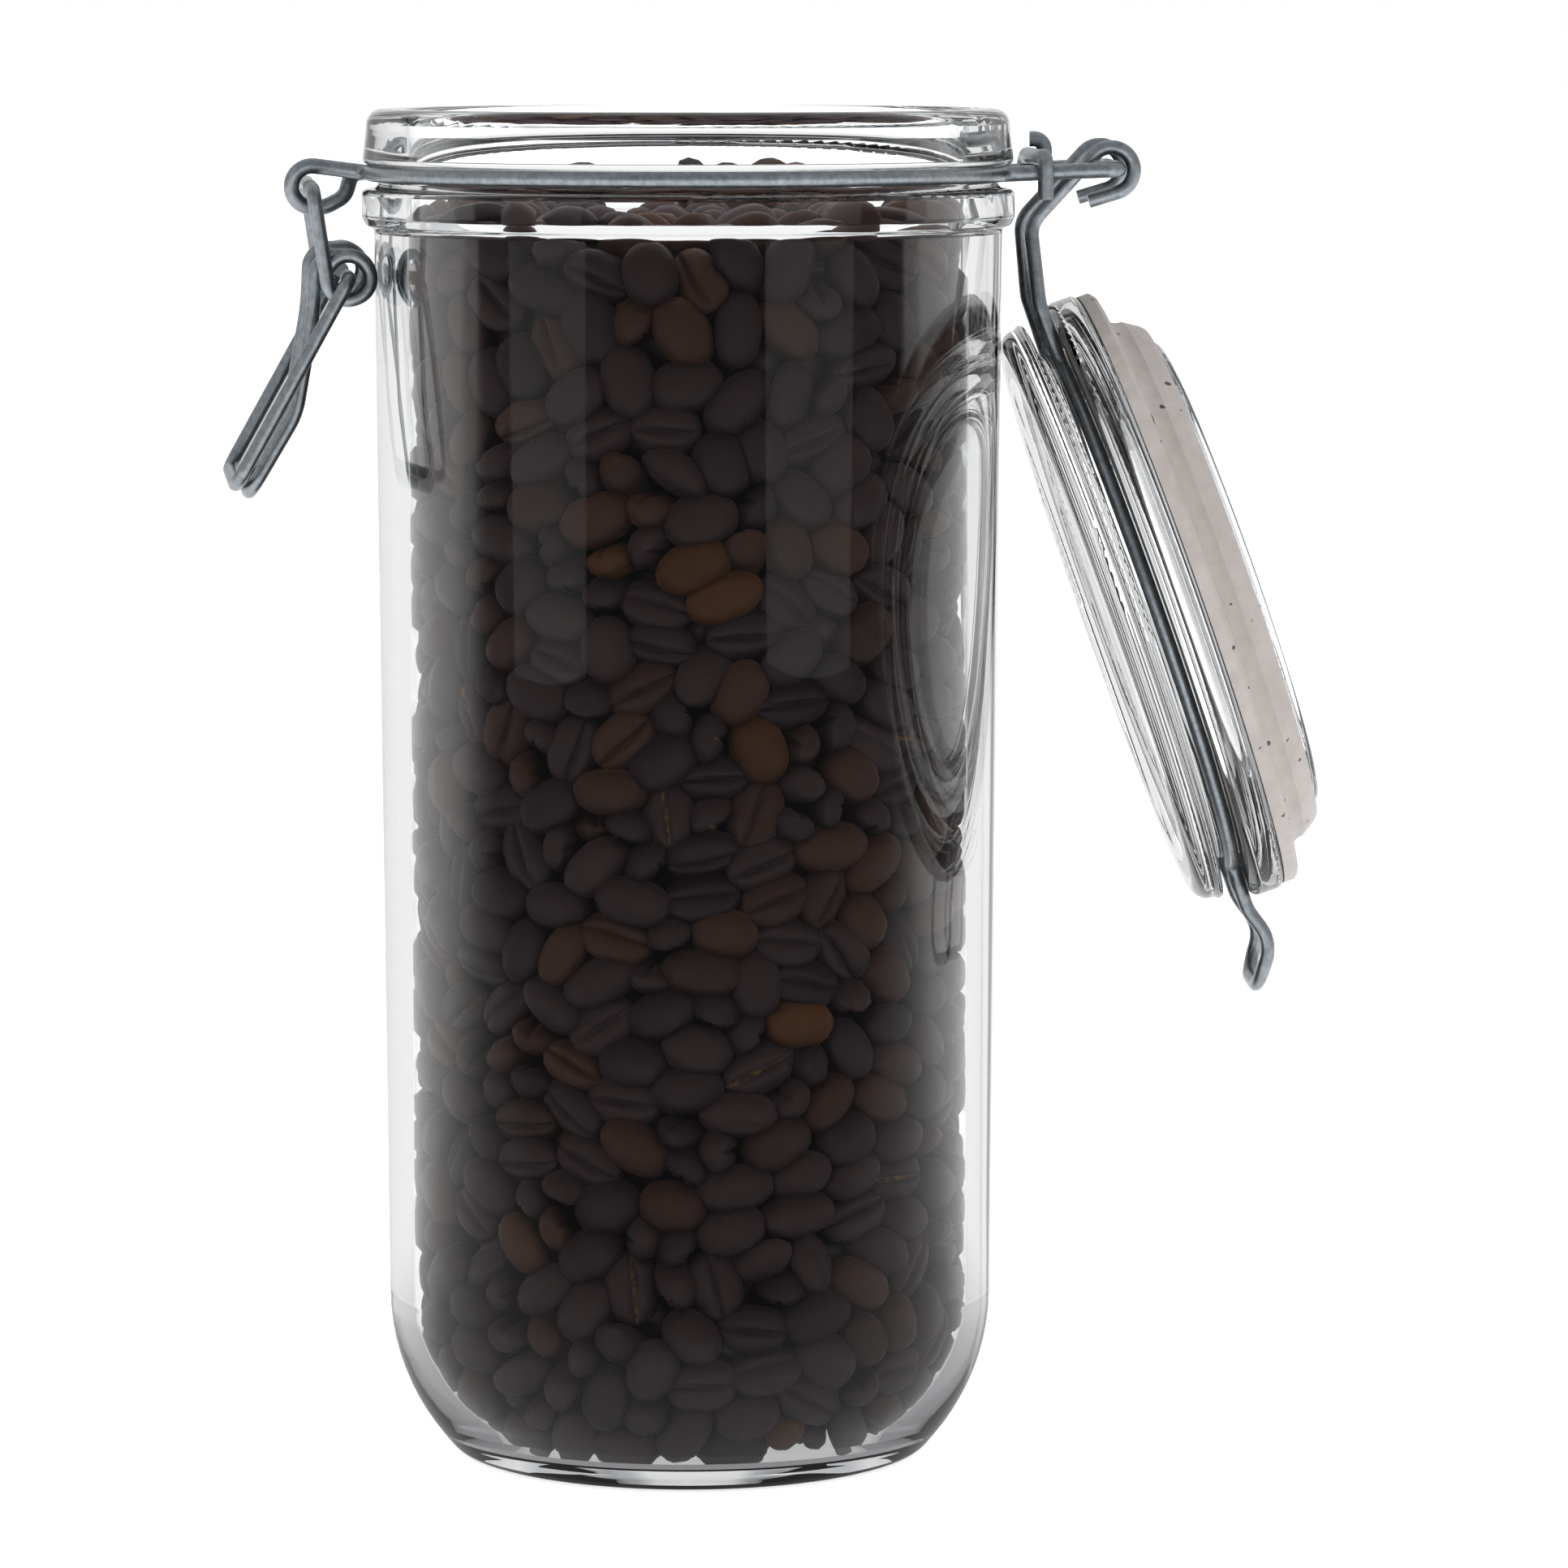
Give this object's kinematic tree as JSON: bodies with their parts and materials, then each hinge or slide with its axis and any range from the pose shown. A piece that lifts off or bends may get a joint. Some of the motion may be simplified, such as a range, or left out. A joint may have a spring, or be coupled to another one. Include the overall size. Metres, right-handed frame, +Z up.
{
  "type": "clip-top glass storage jar",
  "caption": "Tall clear glass canister with a hinged glass lid, rubber gasket and over-centre steel wire clip.",
  "frame": {"origin": "centre of the jar's flat base, on the surface it stands on", "axes": "+Z up along the jar's axis, hinge on +X, latch on -X"},
  "size_m": [0.1696, 0.1002, 0.208],
  "materials": {
    "clear_glass": "polished clear glass",
    "wire_steel": "zinc-grey drawn wire, satin",
    "gasket_rubber": "matt beige-grey rubber"
  },
  "bodies": {
    "root": {"jar": "clear_glass", "neck_wire": "wire_steel"},
    "bail": {"lid_bail": "wire_steel"},
    "lid": {"lid_glass": "clear_glass", "lid_gasket": "gasket_rubber"},
    "lever": {"closing_lever": "wire_steel"},
    "catch": {"catch_loop": "wire_steel"}
  },
  "joints": [
    {"name": "lid_hinge", "type": "hinge", "parent": "root", "child": "bail", "pos_m": [0.0652, 0, 0.1989], "axis": [0, 1, 0], "range_deg": [-250.6, 0]},
    {"name": "lid_turn", "type": "hinge", "parent": "bail", "child": "lid", "pos_m": [0.07596, 0, 0.13356], "axis": [-0.9432, 0, -0.3322], "continuous": true},
    {"name": "lever_pivot", "type": "hinge", "parent": "root", "child": "lever", "pos_m": [-0.0581, 0, 0.1962], "axis": [-0.0819, 0.9963, 0.0262], "range_deg": [0, 157]},
    {"name": "catch_pivot", "type": "hinge", "parent": "lever", "child": "catch", "pos_m": [-0.05285, 0.00078, 0.1828], "axis": [-0.0819, 0.9963, 0.0262], "range_deg": [0, 147.5]}
  ]
}
